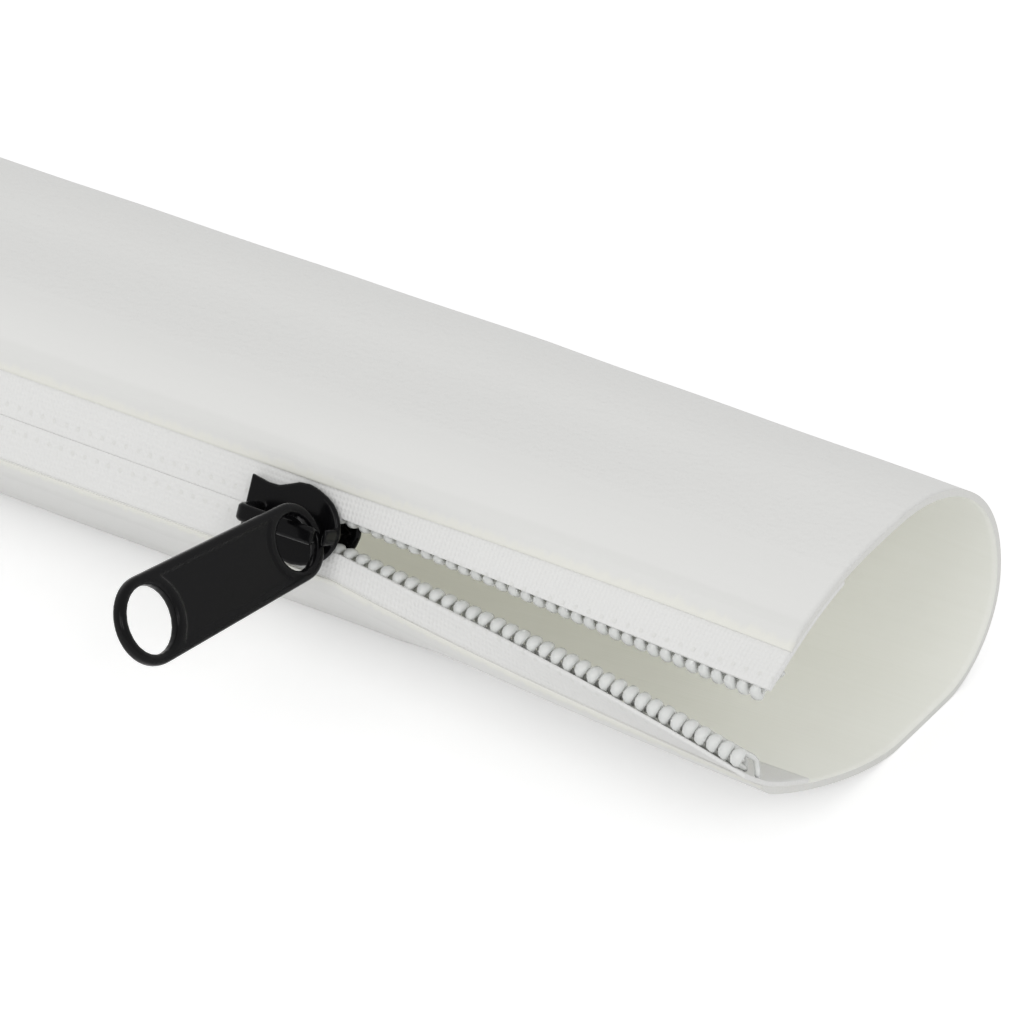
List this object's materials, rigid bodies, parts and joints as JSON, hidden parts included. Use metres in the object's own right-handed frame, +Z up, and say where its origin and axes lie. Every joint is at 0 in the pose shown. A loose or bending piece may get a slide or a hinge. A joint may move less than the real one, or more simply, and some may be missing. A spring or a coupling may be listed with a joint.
{
  "type": "zippered cable sleeve",
  "caption": "Soft white tube for bundling cables, closed along one side by a coil zip, with its mouth unzipped and a slider with a long pull tab.",
  "frame": {"origin": "middle of the flat strip that the sleeve lies on", "axes": "+X along the sleeve to its open mouth, +Y away from the zip, +Z up"},
  "size_m": [0.15, 0.0843, 0.0326],
  "materials": {
    "leathercloth": "finely grained coated cloth, satin",
    "tape": "close woven polyester",
    "coil": "translucent natural monofilament",
    "cord": "spun filler cord",
    "enamel": "gloss black enamel"
  },
  "bodies": {
    "sleeve": {"jacket": "leathercloth", "upper_tape": "tape", "lower_tape": "tape", "upper_coil": "coil", "lower_coil": "coil", "upper_core_cord": "cord", "lower_core_cord": "cord"},
    "slider": {"slider_body": "enamel"},
    "pull": {"pull_tab": "enamel"}
  },
  "joints": [
    {"name": "slider_travel", "type": "slide", "parent": "sleeve", "child": "slider", "axis": [1, 0, 0], "range_m": [-0.08, 0], "deforming": ["upper_coil", "lower_coil", "upper_core_cord", "lower_core_cord", "upper_tape", "lower_tape"]},
    {"name": "pull_swing", "type": "hinge", "parent": "slider", "child": "pull", "pos_m": [0.0178, -0.02548, 0.02383], "axis": [0, 0.4384, 0.8988], "range_deg": [-34, 34]}
  ]
}
